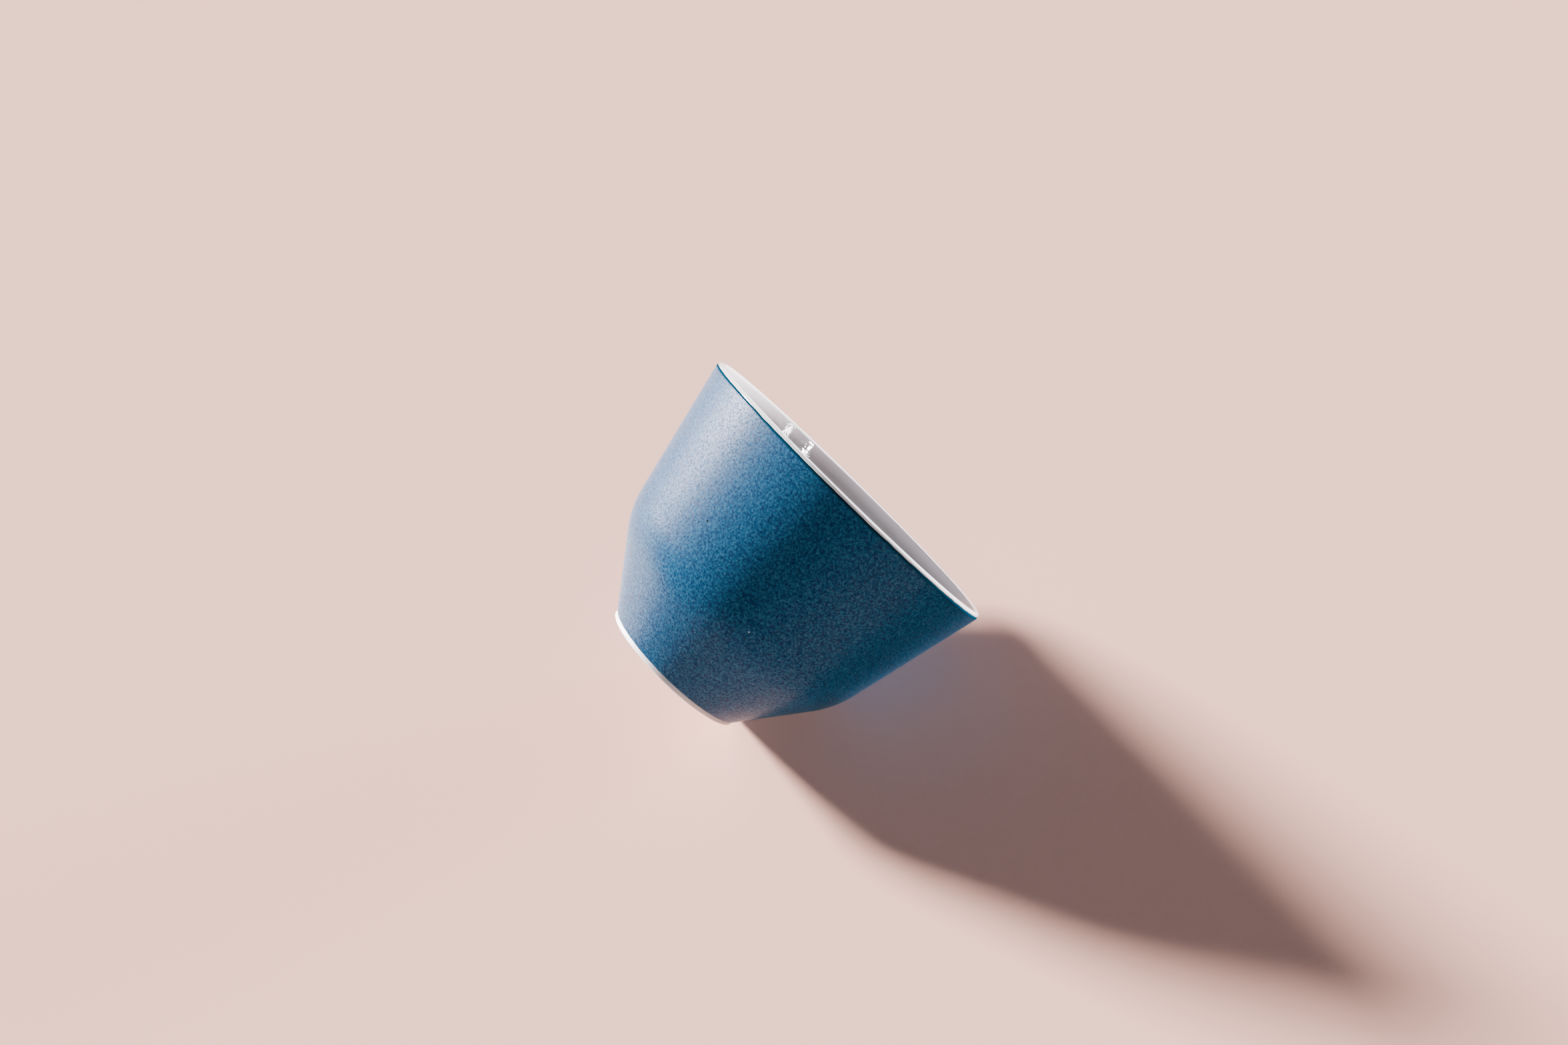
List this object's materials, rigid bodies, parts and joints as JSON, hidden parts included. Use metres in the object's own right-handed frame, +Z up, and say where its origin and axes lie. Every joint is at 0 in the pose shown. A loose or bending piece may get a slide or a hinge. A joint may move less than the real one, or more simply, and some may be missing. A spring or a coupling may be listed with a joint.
{
  "type": "lather cup",
  "caption": "Handle-less porcelain cup with steep flared sides, a narrow bare foot, a blue coat outside and a white glazed inside.",
  "frame": {"origin": "centre of the face that the foot ring rests on", "axes": "+Z up along the cup's turning axis, towards the mouth; +X and +Y are any two radii"},
  "size_m": [0.09, 0.09, 0.0639],
  "materials": {
    "bare_porcelain": "bare fired clay, polished smooth",
    "blue_glaze": "satin blue with a fine darker speckle",
    "clear_glaze": "clear gloss over white clay"
  },
  "bodies": {
    "root": {"porcelain_body": "bare_porcelain", "outer_glaze": "blue_glaze", "inner_glaze": "clear_glaze", "base_glaze": "clear_glaze"}
  },
  "joints": []
}
